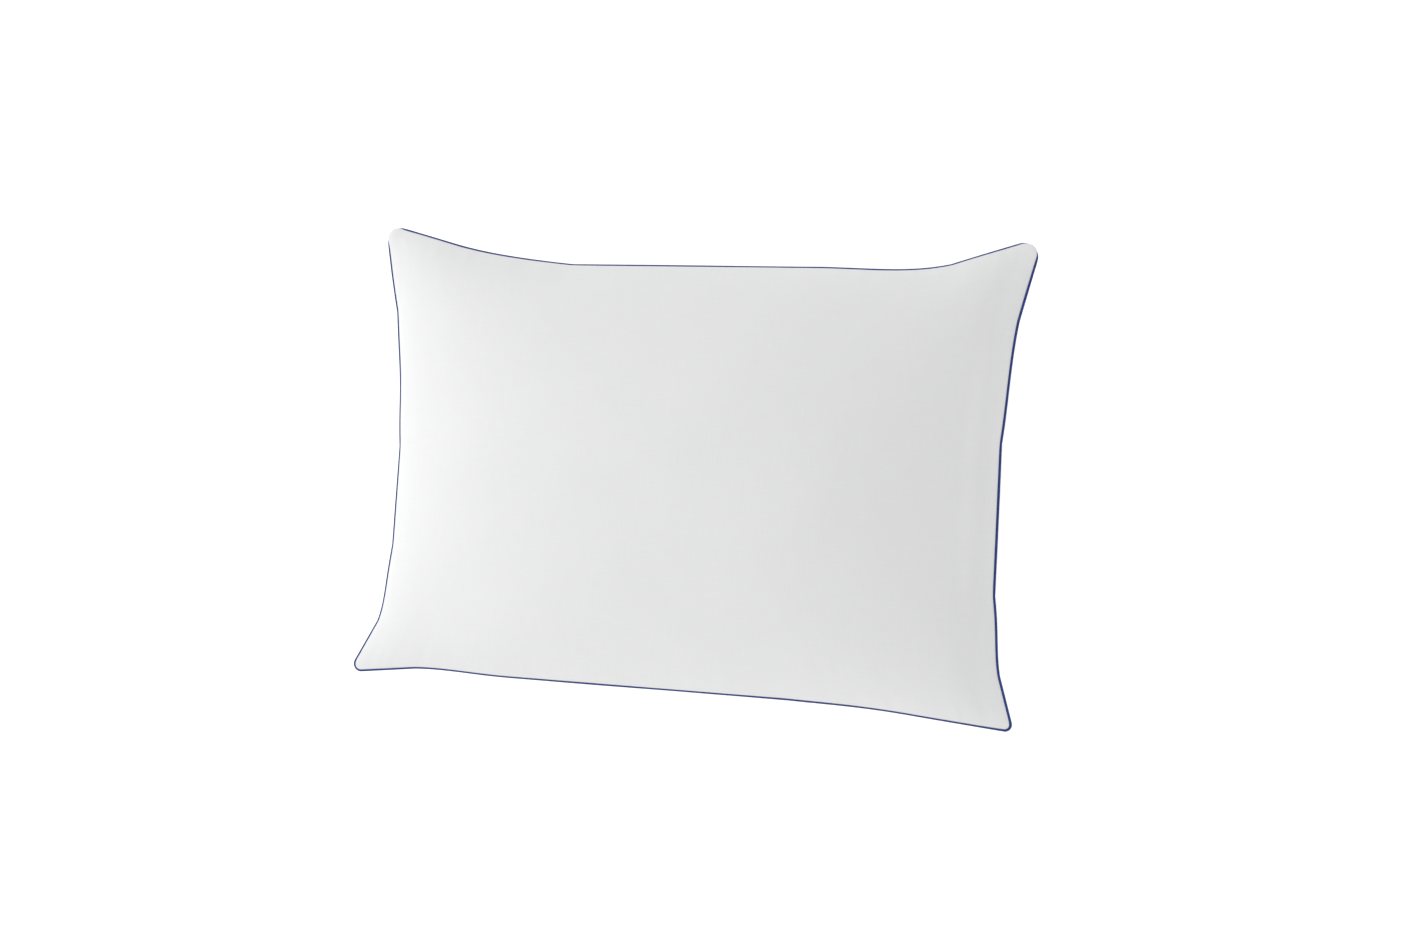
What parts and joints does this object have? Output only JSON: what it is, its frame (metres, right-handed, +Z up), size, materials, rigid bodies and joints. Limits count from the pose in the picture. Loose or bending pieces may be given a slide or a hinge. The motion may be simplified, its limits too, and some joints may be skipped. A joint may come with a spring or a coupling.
{
  "type": "bed pillow",
  "caption": "Rectangular stuffed bed pillow with a thin contrast piping all round, lying face up on its flattened underside.",
  "frame": {"origin": "on the surface the pillow lies on, under the middle of its outline", "axes": "+X along the length, +Y across the width towards the head side, +Z up through the thickness"},
  "size_m": [0.7391, 0.5004, 0.1642],
  "materials": {
    "ticking": "plain-woven white cotton",
    "piping": "royal blue bias-cut cotton",
    "filler_cord": "twisted cotton cord",
    "thread": "white polyester thread",
    "fibre": "lofty polyester fibre",
    "label": "smooth blank satin tape"
  },
  "bodies": {
    "root": {"top_panel": "ticking", "bottom_panel": "ticking", "piping_cover": "piping", "piping_cord": "filler_cord", "needle_thread": "thread", "bobbin_thread": "thread", "overlock_stitching": "thread", "closing_stitches": "thread", "fibre_fill": "fibre", "care_label": "label"}
  },
  "joints": []
}
